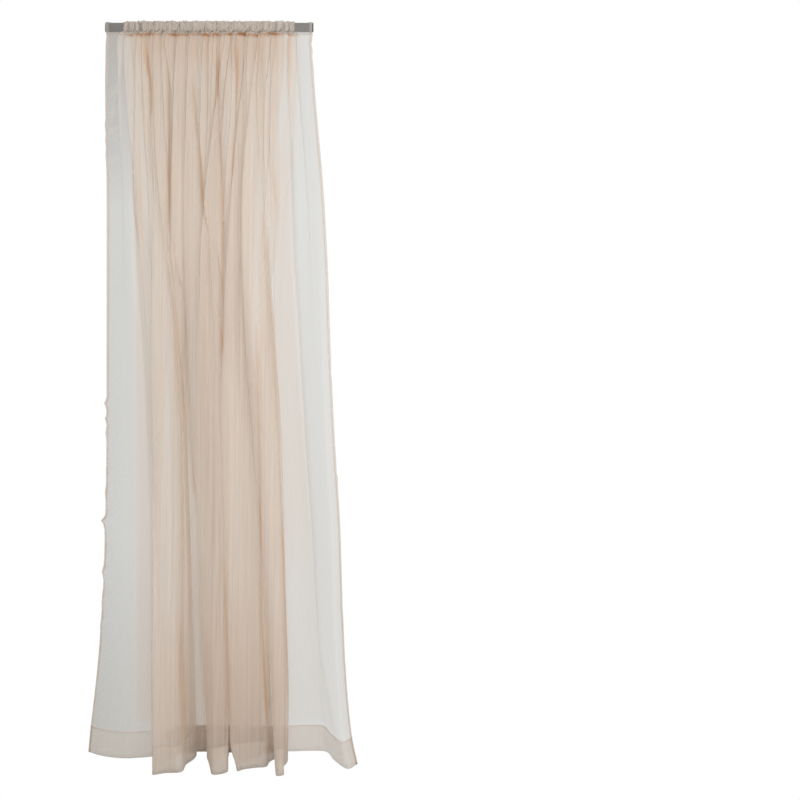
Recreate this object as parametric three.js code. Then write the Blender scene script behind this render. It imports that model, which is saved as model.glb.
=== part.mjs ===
// Sheer curtain panel gathered by its rod pocket on a flat oval rod.
// Units are millimetres and +Z is up. The front of the curtain faces -Y.
// The origin is the middle of the rod.

import * as THREE from "three";

// Rod sizes
const ROD_LENGTH = 600;
const ROD_HEIGHT = 26;
const ROD_THICKNESS = 8;
const ROD_ARC_STEPS = 8;

// Cloth sizes
const FLAT_WIDTH = 1900;
const HEM_DROP = 2115.5; // from the middle of the rod down to the bottom of the hem
const CLOTH_THICKNESS = 1.2;
const HEM_THICKNESS = 2; // of the turned cloth in the side hems and the bottom hem
const SIDE_HEM = 12;
const HEM_HEIGHT = 76;

// Rod pocket sizes
const POCKET_WIDTH = 594; // length of rod that the pocket covers
const FLAT_END = 40; // cloth at each end of the pocket that isn't gathered
const SEAM_DROP = 21; // of the row of sewing under the rod
const SEAT_GAP = 0.3; // between the rod's top and the cloth that hangs on it
const EDGE_GAP = 2; // between the rod's sides and the cloth
const POCKET_RUCHE = 4; // how far the gathers of the pocket stand off the rod
const POCKET_PUFF = 4; // how far they rise above it
const POCKET_LOW = 11; // half the height over which the pocket's sides are upright
const BACK_SHIFT = 2.2; // how far round a gather the back of the pocket lags its front
const CROWN_SHIFT = 1.1; // and its top

// Gathers at the pocket and pleats lower down
const GATHERS = 30;
const COLUMNS_PER_GATHER = 4;
const GATHER_WAVES = [
  { size: 0.15, turn: 1.9, start: 0 },
  { size: 0.08, turn: 4.1, start: 1 },
];
const PLEATS = 13;
const PLEAT_WAVE = { size: 0.1, turn: 0.9 };
const PLEAT_LEAN = 0.25; // sideways lean of the pleats, for each step forward
const LEAN_TURN = 0.9;
const HEM_ROUNDING = 90; // cloth on each side over which the hem's folds are evened out, at most
const ROUNDING_STEPS = [-1, -0.5, 0, 0.5, 1];
const HEM_DEPTH_POWER = 0.55; // the hem's folds reach up deeper than their share of the plan
const FACING = { wall: 0.02, front: 0.16 }; // sideways run of the cloth, none to all of its pleats
const LEAST_RUN = 2.6; // sideways step between neighbouring columns
const MITRE_LIMIT = 2.5;
const TILT_LIMIT = THREE.MathUtils.degToRad(10); // of the wall's thickness from straight ahead
const PLAN_STEP = 2; // cloth length over which a plan's direction is measured

// Plies of cloth across the curtain at mid height, from the left edge
const MID_LEFT_X = -300;
const MID_BANDS = [
  { plies: 1, width: 66 },
  { plies: 2.3, width: 70 },
  { plies: 3, width: 35 },
  { plies: 4.4, width: 262 },
  { plies: 3, width: 69 },
  { plies: 2.2, width: 69 },
  { plies: 1, width: 75 },
];

// Plan of the bottom hem, from the left edge: wings at the back, four folds to the front
const HEM_CURVE_STEPS = 40; // in each span, to measure the curve's length
const HEM_PLAN = [
  { x: -372, y: 66 },
  { x: -328, y: 37 },
  { x: -253, y: 16 },
  { x: -175, y: 29 },
  { x: -136, y: 36 },
  { x: -128, y: 0 },
  { x: -136, y: -70 },
  { x: -136, y: -99 },
  { x: -105, y: -86 },
  { x: -62, y: -81 },
  { x: -60, y: -29 },
  { x: -46, y: 10 },
  { x: -50, y: 54 },
  { x: -28, y: 76 },
  { x: -10, y: 30 },
  { x: 4, y: -44 },
  { x: 31, y: -99 },
  { x: 66, y: -82 },
  { x: 50, y: -10 },
  { x: 40, y: 58 },
  { x: 56, y: 62 },
  { x: 74, y: -16 },
  { x: 94, y: -75 },
  { x: 110, y: -59 },
  { x: 145, y: -51 },
  { x: 172, y: -44 },
  { x: 176, y: -8 },
  { x: 185, y: -36 },
  { x: 208, y: -107 },
  { x: 227, y: -102 },
  { x: 229, y: -56 },
  { x: 222, y: 38 },
  { x: 233, y: 62 },
  { x: 326, y: 69 },
  { x: 361, y: 0 },
  { x: 404, y: -60 },
  { x: 429, y: -23 },
];

// Heights of the cloth below the pocket. depth scales the folds, pleat is how far the gathers
// have grown together into pleats, mid and hem are the shares of those two plans, and left
// and right are the edges of the cloth.
const SECTIONS = [
  { drop: SEAM_DROP, depth: 0.4, pleat: 0, mid: 0, hem: 0, left: -297, right: 297 },
  { drop: 45, depth: 0.85, pleat: 0, mid: 0, hem: 0, left: -299, right: 297 },
  { drop: 90, depth: 1, pleat: 0.1, mid: 0.1, hem: 0, left: -300, right: 299 },
  { drop: 160, depth: 1, pleat: 0.25, mid: 0.25, hem: 0, left: -301, right: 303 },
  { drop: 280, depth: 1, pleat: 0.45, mid: 0.5, hem: 0.02, left: -300, right: 313 },
  { drop: 450, depth: 1, pleat: 0.7, mid: 0.8, hem: 0.06, left: -298, right: 328 },
  { drop: 670, depth: 1, pleat: 0.9, mid: 0.86, hem: 0.14, left: -299, right: 341 },
  { drop: 920, depth: 0.9, pleat: 1, mid: 0.72, hem: 0.28, left: -302, right: 350 },
  { drop: 1180, depth: 0.7, pleat: 1, mid: 0.55, hem: 0.45, left: -306, right: 362 },
  { drop: 1430, depth: 0.45, pleat: 1, mid: 0.36, hem: 0.64, left: -313, right: 378 },
  { drop: 1660, depth: 0.25, pleat: 1, mid: 0.2, hem: 0.8, left: -325, right: 386 },
  { drop: 1850, depth: 0.1, pleat: 1, mid: 0.09, hem: 0.91, left: -342, right: 395, lapped: true },
  { drop: 2034, depth: 0, pleat: 1, mid: 0.02, hem: 0.98, left: -364, right: 412, lapped: true },
  { drop: 2042, depth: 0, pleat: 1, mid: 0.02, hem: 0.98, left: -365, right: 413, lapped: true },
  { drop: HEM_DROP, depth: 0, pleat: 1, mid: 0, hem: 1, left: -372, right: 429, lapped: true },
];

// Cloth beside each edge that follows it: all of it up to held, and none past free
const EDGE_PULL = { held: 90, free: 260 };

const clothFinish = new THREE.MeshStandardMaterial({
  color: 0xd8c4b2,
  roughness: 0.75,
  metalness: 0,
  transparent: true,
  opacity: 0.6,
});
const rodFinish = new THREE.MeshStandardMaterial({ color: 0x85868a, roughness: 0.5, metalness: 0.4 });

const hemCurve = new THREE.CatmullRomCurve3(
  HEM_PLAN.map((corner) => new THREE.Vector3(corner.x, corner.y, 0)),
  false,
  "centripetal",
);
hemCurve.arcLengthDivisions = HEM_PLAN.length * HEM_CURVE_STEPS;

// Counting along the gathers, an uneven measure of the cloth that they take up
function unevenGather(count) {
  const waves = GATHER_WAVES.map((wave) => wave.size * Math.sin(wave.turn * count + wave.start));
  return waves.reduce((sum, wave) => sum + wave, count);
}

function clothAtGather(count) {
  const start = unevenGather(0);
  const share = (unevenGather(count) - start) / (unevenGather(GATHERS) - start);
  return FLAT_END + (FLAT_WIDTH - 2 * FLAT_END) * share;
}

function pleatAtGather(count) {
  return (count * PLEATS) / GATHERS + PLEAT_WAVE.size * Math.sin(PLEAT_WAVE.turn * count);
}

// A column of the cloth: its place along the flat width, and its place among the folds
function makeColumn(cloth, count) {
  const near = Math.max(count - 0.5, 0);
  const far = Math.min(count + 0.5, GATHERS);
  const span = clothAtGather(far) - clothAtGather(near);
  return {
    cloth,
    gather: count,
    pleat: pleatAtGather(count),
    gatherLength: span / (far - near),
    pleatLength: span / (pleatAtGather(far) - pleatAtGather(near)),
    gathered: cloth > FLAT_END && cloth < FLAT_WIDTH - FLAT_END,
  };
}

function makeColumns() {
  const columns = [makeColumn(0, 0), makeColumn(SIDE_HEM, 0)];
  for (let step = 0; step <= GATHERS * COLUMNS_PER_GATHER; step += 1) {
    const count = step / COLUMNS_PER_GATHER;
    columns.push(makeColumn(clothAtGather(count), count));
  }
  columns.push(makeColumn(FLAT_WIDTH - SIDE_HEM, GATHERS), makeColumn(FLAT_WIDTH, GATHERS));
  return columns;
}

// Where the cloth lies along the rod: flat at both ends, evenly drawn in between
function pocketX(cloth) {
  const half = POCKET_WIDTH / 2;
  if (cloth < FLAT_END) {
    return cloth - half;
  }
  if (cloth > FLAT_WIDTH - FLAT_END) {
    return half - (FLAT_WIDTH - cloth);
  }
  const share = (cloth - FLAT_END) / (FLAT_WIDTH - 2 * FLAT_END);
  return FLAT_END - half + share * (POCKET_WIDTH - 2 * FLAT_END);
}

// Where the cloth lies across the curtain at mid height
function midX(cloth) {
  const taken = MID_BANDS.reduce((sum, band) => sum + band.plies * band.width, 0);
  let left = (cloth * taken) / FLAT_WIDTH;
  let x = MID_LEFT_X;
  for (const band of MID_BANDS) {
    const used = Math.min(left, band.plies * band.width);
    x += used / band.plies;
    left -= used;
  }
  return x;
}

// The hem's plan, with its folds rounder the further up a section is
function hemPoint(cloth, section) {
  const spread = HEM_ROUNDING * (1 - section.hem);
  const sum = new THREE.Vector3();
  for (const step of ROUNDING_STEPS) {
    const near = THREE.MathUtils.clamp(cloth + step * spread, 0, FLAT_WIDTH);
    sum.add(hemCurve.getPointAt(near / FLAT_WIDTH));
  }
  return sum.divideScalar(ROUNDING_STEPS.length);
}

function blendedX(cloth, section) {
  const topShare = 1 - section.mid - section.hem;
  const hemX = hemPoint(cloth, section).x;
  return topShare * pocketX(cloth) + section.mid * midX(cloth) + section.hem * hemX;
}

// The line that the folds of a section lie along, with its two edges drawn to their places
function basePlan(cloth, section) {
  const kept = THREE.MathUtils.clamp(cloth, 0, FLAT_WIDTH);
  const { held, free } = EDGE_PULL;
  const leftPull = 1 - THREE.MathUtils.smoothstep(kept, held, free);
  const rightPull = 1 - THREE.MathUtils.smoothstep(FLAT_WIDTH - kept, held, free);
  const x =
    blendedX(kept, section) +
    leftPull * (section.left - blendedX(0, section)) +
    rightPull * (section.right - blendedX(FLAT_WIDTH, section));
  const y = Math.pow(section.hem, HEM_DEPTH_POWER) * hemPoint(kept, section).y;
  return new THREE.Vector2(x, y);
}

// Cloth of a fold's length, drawn in to a share of it, stands this far to each side
function foldDepth(length, drawnTo) {
  return (length / 4) * Math.sqrt(Math.max(0, 1 - drawnTo * drawnTo));
}

// A point of the cloth's middle: the base line, plus the folds that take up the spare cloth
function foldPoint(column, section) {
  const before = Math.max(column.cloth - PLAN_STEP, 0);
  const after = Math.min(column.cloth + PLAN_STEP, FLAT_WIDTH);
  const along = basePlan(after, section).sub(basePlan(before, section)).divideScalar(after - before);
  const drawnTo = along.length();
  const facing = THREE.MathUtils.smoothstep(along.x, FACING.wall, FACING.front);
  const turn = (section.pleat * Math.PI) / 2;
  const gather = foldDepth(column.gatherLength, drawnTo) * Math.sin(2 * Math.PI * column.gather);
  const pleat = foldDepth(column.pleatLength, drawnTo) * Math.sin(2 * Math.PI * column.pleat);
  const depth = section.depth * facing * (Math.cos(turn) * gather + Math.sin(turn) * pleat);
  const lean = PLEAT_LEAN * section.pleat * Math.sin(LEAN_TURN * column.pleat);
  const place = basePlan(column.cloth, section);
  place.x += lean * depth;
  place.y -= depth;
  return place;
}

// The corner's outward step from a plan line, for a wall of even thickness. It turns no further
// from straight ahead than tilt.
function mitre(before, here, after, tilt) {
  const first = new THREE.Vector2(here.y - before.y, before.x - here.x).normalize();
  const second = new THREE.Vector2(after.y - here.y, here.x - after.x).normalize();
  const middle = first.clone().add(second).normalize();
  const turn = THREE.MathUtils.clamp(Math.atan2(middle.x, -middle.y), -tilt, tilt);
  middle.set(Math.sin(turn), -Math.cos(turn));
  const stretch = Math.min(1 / Math.max(middle.dot(first), 1 / MITRE_LIMIT), MITRE_LIMIT);
  return middle.multiplyScalar(stretch);
}

function thicknessAt(column, section) {
  const inSideHem = column.cloth <= SIDE_HEM || column.cloth >= FLAT_WIDTH - SIDE_HEM;
  const inBottomHem = section.drop > HEM_DROP - HEM_HEIGHT;
  return inSideHem || inBottomHem ? HEM_THICKNESS : CLOTH_THICKNESS;
}

// The cloth's middle along one section. Above the lapped hem, no fold reaches back over another.
function sectionPlan(columns, section) {
  const plan = columns.map((column) => foldPoint(column, section));
  for (let index = 1; index < plan.length && !section.lapped; index += 1) {
    plan[index].x = Math.max(plan[index].x, plan[index - 1].x + LEAST_RUN);
  }
  return plan;
}

// Front and back faces of one section, column by column
function sectionFaces(columns, section) {
  const plan = sectionPlan(columns, section);
  const tilt = section.lapped ? Math.PI : TILT_LIMIT;
  return plan.map((here, index) => {
    const before = plan[index - 1] ?? here.clone().multiplyScalar(2).sub(plan[index + 1]);
    const after = plan[index + 1] ?? here.clone().multiplyScalar(2).sub(plan[index - 1]);
    const thickness = thicknessAt(columns[index], section);
    const step = mitre(before, here, after, tilt).multiplyScalar(thickness / 2);
    const z = -section.drop;
    return {
      front: new THREE.Vector3(here.x + step.x, here.y + step.y, z),
      back: new THREE.Vector3(here.x - step.x, here.y - step.y, z),
    };
  });
}

// How far a gather of the pocket stands out, from 0 to 1
function ruche(column, shift) {
  return column.gathered ? 0.5 + 0.5 * Math.sin(2 * Math.PI * column.gather + shift) : 0;
}

// The pocket's inner and outer faces at one column, from its front seam over the rod to its back
function pocketLoop(column, faces) {
  const side = ROD_THICKNESS / 2 + EDGE_GAP;
  const front = side + POCKET_RUCHE * ruche(column, 0);
  const back = side + POCKET_RUCHE * ruche(column, BACK_SHIFT);
  const crown = ROD_HEIGHT / 2 + SEAT_GAP + POCKET_PUFF * ruche(column, CROWN_SHIFT);
  const shoulder = ROD_HEIGHT / 2 + POCKET_PUFF * ruche(column, CROWN_SHIFT);
  const seam = faces.front.clone().add(faces.back).multiplyScalar(0.5);
  const thick = CLOTH_THICKNESS;
  const at = (y, z) => new THREE.Vector3(seam.x, y, z);
  const inner = [
    at(seam.y, seam.z + 2 * thick),
    at(-front, -POCKET_LOW),
    at(-front, shoulder),
    at(0, crown),
    at(back, shoulder),
    at(back, -POCKET_LOW),
  ];
  const outer = [
    at(-front - thick, -POCKET_LOW),
    at(-front - thick, shoulder + thick),
    at(0, crown + thick),
    at(back + thick, shoulder + thick),
    at(back + thick, -POCKET_LOW),
  ];
  return { inner, outer };
}

// One closed solid of the sheet and its pocket: every column is a section of both, and
// neighbouring columns are joined by bands of faces.
function panelGeometry() {
  const columns = makeColumns();
  const rows = SECTIONS.map((section) => sectionFaces(columns, section));
  const points = [];
  const faces = [];
  const addPoint = (point) => points.push(point) - 1;
  const addFace = (...corners) => {
    for (let corner = 1; corner < corners.length - 1; corner += 1) {
      faces.push(corners[0], corners[corner], corners[corner + 1]);
    }
  };

  const sections = columns.map((column, index) => {
    const { inner, outer } = pocketLoop(column, rows[0][index]);
    const front = rows.map((row) => addPoint(row[index].front));
    const back = rows.map((row) => addPoint(row[index].back));
    const loop = outer.map(addPoint);
    return { front, back, outer: [front[0], ...loop, back[0]], inner: inner.map(addPoint) };
  });

  const last = SECTIONS.length - 1;
  for (let index = 0; index < columns.length - 1; index += 1) {
    const near = sections[index];
    const far = sections[index + 1];
    for (let row = 0; row < last; row += 1) {
      addFace(near.front[row + 1], far.front[row + 1], far.front[row], near.front[row]);
      addFace(near.back[row + 1], near.back[row], far.back[row], far.back[row + 1]);
    }
    addFace(near.back[last], far.back[last], far.front[last], near.front[last]);
    for (let step = 0; step < near.outer.length - 1; step += 1) {
      addFace(near.outer[step], far.outer[step], far.outer[step + 1], near.outer[step + 1]);
    }
    for (let step = 0; step < near.inner.length; step += 1) {
      const next = (step + 1) % near.inner.length;
      addFace(near.inner[step], near.inner[next], far.inner[next], far.inner[step]);
    }
  }

  const endFaces = ({ front, back, outer, inner }) => {
    const seam = [outer[0], inner[0], back[0]];
    const sheet = front.slice(1).map((low, row) => [front[row], back[row], back[row + 1], low]);
    const pocket = inner.map((corner, step) => {
      const next = inner[(step + 1) % inner.length];
      return [outer[step], outer[step + 1], next, corner];
    });
    return [seam, ...sheet, ...pocket];
  };
  endFaces(sections[0]).forEach((corners) => addFace(...corners));
  endFaces(sections[columns.length - 1]).forEach((corners) => addFace(...corners.reverse()));

  const geometry = new THREE.BufferGeometry().setFromPoints(points);
  geometry.setIndex(faces);
  return geometry;
}

// A flat bar with fully rounded long edges
function rodGeometry() {
  const radius = ROD_THICKNESS / 2;
  const straight = ROD_HEIGHT / 2 - radius;
  const outline = new THREE.Shape();
  outline.absarc(0, straight, radius, 0, Math.PI, false);
  outline.absarc(0, -straight, radius, Math.PI, 2 * Math.PI, false);
  const geometry = new THREE.ExtrudeGeometry(outline, {
    depth: ROD_LENGTH,
    bevelEnabled: false,
    curveSegments: ROD_ARC_STEPS,
  });
  geometry.translate(0, 0, -ROD_LENGTH / 2);
  const alongX = new THREE.Matrix4().makeBasis(
    new THREE.Vector3(0, 1, 0),
    new THREE.Vector3(0, 0, 1),
    new THREE.Vector3(1, 0, 0),
  );
  return geometry.applyMatrix4(alongX);
}

function namedMesh(name, geometry, material) {
  const mesh = new THREE.Mesh(geometry, material);
  mesh.name = name;
  return mesh;
}

const curtain = new THREE.Group();
curtain.add(namedMesh("panel", panelGeometry(), clothFinish));
curtain.add(namedMesh("rod", rodGeometry(), rodFinish));

export default curtain;
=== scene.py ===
"""A sheer curtain panel, gathered by its rod pocket on a flat rod.

The cloth is drafted in millimetres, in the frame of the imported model: X runs along the rod, Z is up, and the
front of the curtain faces -Y. Each height of the cloth is one plan line. The gathers of the pocket turn into
pleats on the way down, and the pleats turn into the deep folds of the hem.
"""

from __future__ import annotations

import logging
import math
from dataclasses import dataclass
from enum import Enum

import bpy
import numpy as np
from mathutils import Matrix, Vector

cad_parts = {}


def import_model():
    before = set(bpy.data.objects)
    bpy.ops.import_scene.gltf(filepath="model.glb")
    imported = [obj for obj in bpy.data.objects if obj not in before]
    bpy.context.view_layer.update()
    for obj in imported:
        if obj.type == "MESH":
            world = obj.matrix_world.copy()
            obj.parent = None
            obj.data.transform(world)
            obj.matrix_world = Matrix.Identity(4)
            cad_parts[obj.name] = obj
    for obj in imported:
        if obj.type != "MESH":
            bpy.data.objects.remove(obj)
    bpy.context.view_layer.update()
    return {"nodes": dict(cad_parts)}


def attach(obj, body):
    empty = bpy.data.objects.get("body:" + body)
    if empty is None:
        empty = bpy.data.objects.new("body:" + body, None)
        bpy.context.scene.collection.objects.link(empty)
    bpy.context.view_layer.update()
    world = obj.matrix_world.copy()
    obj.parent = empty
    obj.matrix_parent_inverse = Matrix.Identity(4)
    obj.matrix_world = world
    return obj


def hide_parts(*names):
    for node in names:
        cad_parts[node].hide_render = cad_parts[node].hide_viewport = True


LOG = logging.getLogger("curtain")
MM = 0.001
TINY = 1e-6
WHITE = (1.0, 1.0, 1.0, 1.0)
UNIT_RADIUS = 0.5

# Radians that a wave texture turns by for each step of its map at a scale of 1.
WAVE_TURN = 20

BODY = "root"
PANEL_NODE = "panel"
ROD_NODE = "rod"
CLOTH_MAP = "cloth"
PLIES = "plies"
# The cloth's depth of colour, which partly carries painted shade.
TONE_AND_SHADE = "tone"
GATHERED = "gathered"
BESIDE_HEM = "beside_hem"


class Edge(Enum):
    """The two side edges of the cloth."""

    LEFT = "left"
    RIGHT = "right"


@dataclass(frozen=True)
class Section:
    """One height of the hanging cloth, in millimetres below the rod's middle.

    depth scales the folds. pleat is how far the gathers have grown together into pleats, spread how far the
    cloth has left its even place along the rod, hem how far it follows the hem's plan from side to side and
    deep how far it does so from front to back. left and right are the edges of the cloth. The dense body of
    folds lies from body_left to body_right, with a flat wing to each side of it.
    """

    drop: float
    depth: float
    pleat: float
    spread: float
    hem: float
    deep: float
    left: float
    body_left: float
    body_right: float
    right: float


SECTIONS = (
    Section(21, 0.8, 0, 0, 0, 0, -297, -190, 185, 297),
    Section(45, 0.95, 0, 0.02, 0, 0, -299, -190, 185, 297),
    Section(90, 1, 0.05, 0.06, 0.02, 0.02, -300, -188, 184, 299),
    Section(160, 1, 0.12, 0.16, 0.05, 0.03, -301, -187, 183, 303),
    Section(280, 1, 0.25, 0.32, 0.12, 0.05, -300, -185, 183, 313),
    Section(450, 1, 0.45, 0.55, 0.25, 0.09, -298, -184, 184, 328),
    Section(670, 1, 0.7, 0.78, 0.45, 0.15, -299, -183, 187, 341),
    Section(920, 1, 0.9, 0.93, 0.68, 0.25, -302, -182, 194, 350),
    Section(1180, 0.9, 1, 1, 0.83, 0.4, -306, -181, 204, 362),
    Section(1430, 0.75, 1, 1, 0.9, 0.56, -313, -180, 216, 378),
    Section(1660, 0.6, 1, 1, 0.95, 0.75, -325, -179, 226, 386),
    Section(1850, 0.45, 1, 1, 0.98, 0.9, -342, -177, 231, 395),
    Section(2000, 0.3, 1, 1, 1, 0.98, -360, -174, 232, 408),
    Section(2040, 0.2, 1, 1, 1, 1, -365, -173, 232, 413),
    Section(2115.5, 0.1, 1, 1, 1, 1, -372, -172, 231, 429),
)


@dataclass(frozen=True)
class Band:
    """A strip of the body: its share of the width, and how dense its plies lie in each half of the drop."""

    width: float
    upper: float
    lower: float


BODY_BANDS = (
    Band(0.05, 0.5, 0.5),
    Band(0.21, 1.05, 1.25),
    Band(0.24, 1.1, 0.85),
    Band(0.21, 1.1, 1.15),
    Band(0.21, 0.85, 1.0),
    Band(0.08, 0.55, 0.9),
)


@dataclass(frozen=True)
class PlanPoint:
    """A point that the bottom hem passes through, seen from above."""

    x: float
    y: float


LEFT_WING_PLAN = (
    PlanPoint(-372, 66),
    PlanPoint(-328, 37),
    PlanPoint(-253, 16),
)

BODY_PLAN = (
    PlanPoint(-172, 28),
    PlanPoint(-110, 48),
    PlanPoint(-74, 60),
    PlanPoint(-60, 60),
    PlanPoint(-84, 50),
    PlanPoint(-118, 20),
    PlanPoint(-131, -40),
    PlanPoint(-137, -99),
    PlanPoint(-105, -88),
    PlanPoint(-62, -81),
    PlanPoint(-60, -29),
    PlanPoint(-47, 10),
    PlanPoint(-50, 50),
    PlanPoint(-100, 57),
    PlanPoint(-114, 62),
    PlanPoint(-60, 69),
    PlanPoint(0, 74),
    PlanPoint(18, 71),
    PlanPoint(-34, 67),
    PlanPoint(-104, 69),
    PlanPoint(-40, 73),
    PlanPoint(0, 74),
    PlanPoint(34, 70),
    PlanPoint(16, 12),
    PlanPoint(2, -44),
    PlanPoint(31, -99),
    PlanPoint(66, -82),
    PlanPoint(52, -10),
    PlanPoint(42, 57),
    PlanPoint(6, 60),
    PlanPoint(-20, 65),
    PlanPoint(10, 70),
    PlanPoint(60, 72),
    PlanPoint(120, 70),
    PlanPoint(160, 65),
    PlanPoint(110, 62),
    PlanPoint(34, 61),
    PlanPoint(100, 53),
    PlanPoint(144, 45),
    PlanPoint(128, 16),
    PlanPoint(84, -16),
    PlanPoint(70, -52),
    PlanPoint(77, -76),
    PlanPoint(102, -64),
    PlanPoint(145, -51),
    PlanPoint(170, -45),
    PlanPoint(176, -10),
    PlanPoint(192, 14),
    PlanPoint(210, 20),
    PlanPoint(196, -20),
    PlanPoint(192, -60),
    PlanPoint(208, -107),
    PlanPoint(227, -102),
    PlanPoint(229, -56),
    PlanPoint(224, 20),
    PlanPoint(212, 52),
    PlanPoint(175, 58),
    PlanPoint(160, 63),
    PlanPoint(190, 67),
)

RIGHT_WING_PLAN = (
    PlanPoint(231, 69),
    PlanPoint(326, 70),
    PlanPoint(361, 0),
    PlanPoint(404, -60),
    PlanPoint(429, -23),
)


@dataclass(frozen=True)
class HemTuck:
    """A corner of the hem that slants on its way down, in millimetres.

    cloth is its place along the flat width, and reach how far it spreads there. It slants from the drop at
    start, and has moved by shift at the bottom.
    """

    cloth: float
    reach: float
    start: float
    shift: float


HEM_TUCKS = (
    HemTuck(1272, 32, 2085, 17),
    HemTuck(2095, 36, 2030, 20),
    HemTuck(2363, 30, 2030, 15),
    HemTuck(2475, 28, 2030, -12),
)


@dataclass(frozen=True)
class Wave:
    """A wave that makes folds uneven: its size, its turn for each step along, and where it starts."""

    size: float
    turn: float
    start: float


GATHER_WAVES = (Wave(0.15, 1.9, 0), Wave(0.08, 4.1, 1))
PLEAT_WAVES = (Wave(0.22, 1.7, 0.6), Wave(0.12, 3.3, 0))
CRINKLE_WAVES = (Wave(0.5, 2.31, 0.6), Wave(0.3, 3.7, 0))
PUCKER_WAVES = (Wave(1, 0.37, 0.8), Wave(1, 1.13, 2.1), Wave(1, 2.3, 0.4))
SEAM_WAVES = (Wave(1, 0.11, 0), Wave(0.7, 0.83, 0))

# The starts of these two are counted on from ripple to ripple.
RIPPLE_WAVES = (Wave(1, 11.3, 1.7), Wave(1, 29.1, 2.9))
SWELL_WAVE = Wave(0.35, 37.0, 1.3)


@dataclass(frozen=True)
class Ripple:
    """Fine folds between the main ones.

    count is how many lie across the flat width, size their height in millimetres, wander how unevenly they
    are spaced and drift how far they move along for each metre of drop, both in folds. They grow from the
    drop at rise to full, and die away from fade to end.
    """

    count: float
    size: float
    wander: float
    drift: float
    rise: float
    full: float
    fade: float
    end: float


RIPPLES = (
    Ripple(68, 2.0, 1.1, 0.0, 15, 40, 120, 380),
    Ripple(47, 1.8, 1.3, 0.6, 60, 200, 700, 1300),
    Ripple(27, 2.4, 0.9, -0.4, 250, 600, 1300, 1950),
    Ripple(96, 0.7, 1.7, 1.1, 40, 150, 1500, 2030),
)


@dataclass(frozen=True)
class Crease:
    """A trough or ridge that runs down through every ply, in millimetres.

    It passes through its places, each an x and a drop. depth is how far it sinks to the back, or stands out
    where it is below zero, width how far it reaches to each side, pinch how closely it draws the plies in
    and dense how much denser they look along it, which also deepens their colour as partly painted shade.
    """

    places: tuple
    depth: float
    width: float
    pinch: float
    dense: float


LEFT_FOLD = (
    (-224, 400),
    (-209, 697),
    (-195, 876),
    (-183, 1063),
    (-175, 1236),
    (-169, 1421),
    (-166, 1990),
)
RIGHT_FOLD = (
    (236, 340),
    (244, 642),
    (258, 841),
    (270, 1032),
    (281, 1187),
    (302, 1450),
    (322, 1808),
    (358, 2030),
)

CREASES = (
    Crease(LEFT_FOLD, 4, 6, 0.5, 0.7),
    Crease(RIGHT_FOLD, 5, 6, 0.5, 0.9),
    Crease(((-250, 36), (-262, 140), (-281, 258)), 5, 8, 0.5, 0.7),
    Crease(((-186, 50), (-169, 166), (-166, 260)), 6, 7, 0.6, 1.5),
    Crease(((-117, 137), (-116, 555)), 5, 7, 0.6, 1.5),
    Crease(((-48, 160), (-39, 255), (-22, 402), (-16, 547)), 6, 7, 0.6, 1.6),
    Crease(((24, 94), (27, 284), (36, 428), (39, 950)), 6, 6, 0.6, 1.6),
    Crease(((82, 59), (79, 180), (71, 333), (67, 440)), 5, 7, 0.6, 1.6),
    Crease(((152, 45), (154, 218)), 6, 10, 0.5, 0.3),
    Crease(((183, 402), (192, 540)), 4, 6, 0.4, 0.9),
    Crease(((-71, 830), (-65, 1005), (-56, 1187), (-45, 1350)), 5, 6, 0.6, 1.6),
    Crease(((134, 850), (137, 1032), (143, 1236), (149, 1698), (166, 2010)), 5, 6, 0.6, 1.7),
    Crease(((39, 1510), (45, 1669), (56, 1990)), 5, 6, 0.5, 0.9),
    Crease(((-88, 1698), (-79, 1892), (-72, 2030)), 5, 6, 0.5, 1.2),
    Crease(((-33, 1615), (-22, 1808), (-13, 1972)), 4, 6, 0.4, 0.5),
    Crease(((209, 1421), (218, 1643), (233, 1990)), 5, 6, 0.5, 1.2),
)


@dataclass(frozen=True)
class EdgeWrinkle:
    """A soft wrinkle that runs in from a side edge, in millimetres.

    It starts at a drop on that edge and runs inward while it falls, or climbs where fall is below zero.
    """

    edge: Edge
    drop: float
    run: float
    fall: float
    depth: float
    width: float


EDGE_WRINKLES = (
    EdgeWrinkle(Edge.LEFT, 285, 40, -110, 2.2, 12),
    EdgeWrinkle(Edge.LEFT, 330, 30, -80, 1.8, 10),
    EdgeWrinkle(Edge.LEFT, 375, 36, -80, 2.0, 12),
    EdgeWrinkle(Edge.LEFT, 1084, 24, 16, 2.2, 8),
    EdgeWrinkle(Edge.LEFT, 1172, 34, 48, 2.4, 9),
    EdgeWrinkle(Edge.LEFT, 1350, 48, 46, 2.2, 11),
    EdgeWrinkle(Edge.LEFT, 1430, 42, 26, 3.0, 10),
    EdgeWrinkle(Edge.LEFT, 1460, 46, 62, 2.0, 12),
    EdgeWrinkle(Edge.LEFT, 1576, 64, 84, 2.4, 16),
    EdgeWrinkle(Edge.LEFT, 1660, 52, 110, 2.0, 18),
    EdgeWrinkle(Edge.LEFT, 1735, 40, 100, 1.8, 18),
    EdgeWrinkle(Edge.RIGHT, 50, 34, -14, 2.2, 9),
    EdgeWrinkle(Edge.RIGHT, 92, 30, -40, 1.8, 10),
    EdgeWrinkle(Edge.RIGHT, 990, 40, -14, 1.6, 12),
    EdgeWrinkle(Edge.RIGHT, 1290, 34, 30, 1.6, 10),
    EdgeWrinkle(Edge.RIGHT, 1660, 30, 34, 1.8, 10),
)


@dataclass(frozen=True)
class EdgeNick:
    """A small place where a side edge stands out, in millimetres."""

    edge: Edge
    drop: float
    size: float
    height: float


EDGE_NICKS = (
    EdgeNick(Edge.LEFT, 1084, 5, 7),
    EdgeNick(Edge.LEFT, 1130, 5, 8),
    EdgeNick(Edge.LEFT, 1427, 9, 9),
    EdgeNick(Edge.LEFT, 1580, 3, 9),
    EdgeNick(Edge.RIGHT, 1296, 3, 9),
)


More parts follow.
